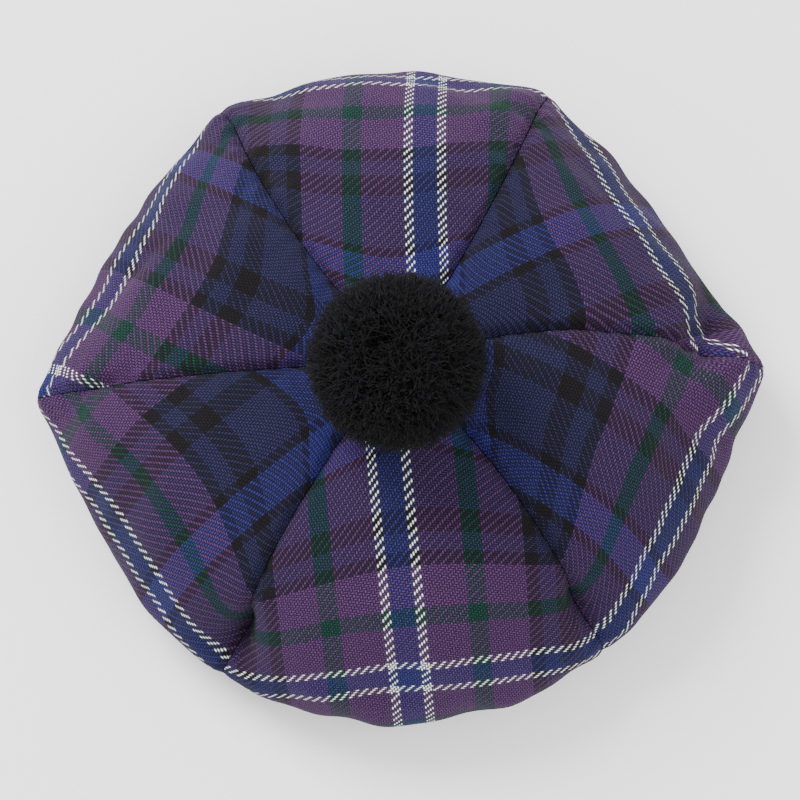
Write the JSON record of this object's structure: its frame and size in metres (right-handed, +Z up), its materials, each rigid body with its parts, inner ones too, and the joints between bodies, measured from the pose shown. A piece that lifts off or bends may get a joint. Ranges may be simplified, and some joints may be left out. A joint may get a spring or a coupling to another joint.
{
  "type": "tam o shanter",
  "caption": "Soft, wide tartan cap sewn from wedge-shaped cloth panels that meet under a black wool pompom, gathered underneath onto an upright cloth headband.",
  "frame": {"origin": "on the surface that the hat stands on, under the middle of its outline", "axes": "+Z up through the crown; +X to the right and -Y to the front as the hat lies"},
  "size_m": [0.2815, 0.2574, 0.1341],
  "materials": {
    "tartan_cloth": "woollen twill in purple, navy, black, bottle green and bright blue, crossed by white lines",
    "band_cloth": "the same woollen twill, folded double",
    "wool_yarn": "cut black wool yarn, matt and fuzzy"
  },
  "bodies": {
    "root": {"crown_panel_1": "tartan_cloth", "crown_panel_2": "tartan_cloth", "crown_panel_3": "tartan_cloth", "crown_panel_4": "tartan_cloth", "crown_panel_5": "tartan_cloth", "crown_panel_6": "tartan_cloth", "headband": "band_cloth", "pompom": "wool_yarn"}
  },
  "joints": []
}
